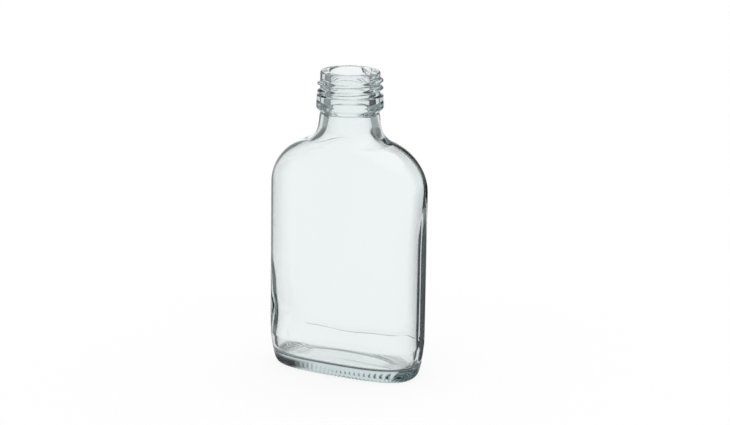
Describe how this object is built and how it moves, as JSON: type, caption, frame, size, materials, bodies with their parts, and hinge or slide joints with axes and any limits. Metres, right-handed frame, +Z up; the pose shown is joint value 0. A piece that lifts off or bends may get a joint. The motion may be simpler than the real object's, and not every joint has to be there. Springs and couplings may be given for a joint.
{
  "type": "pocket flask bottle",
  "caption": "Flat oval clear glass pocket flask with sloping shoulders, a round neck and a screw finish with a locking ring, shown open.",
  "frame": {"origin": "middle of the base, in the plane that the bottle stands on", "axes": "+Z up along the neck axis, the broad faces look along -Y and +Y, the narrow ends along -X and +X"},
  "size_m": [0.0686, 0.0336, 0.1288],
  "materials": {
    "clear_glass": "clear, smooth, very slightly cool glass"
  },
  "bodies": {
    "root": {"glass_bottle": "clear_glass"}
  },
  "joints": []
}
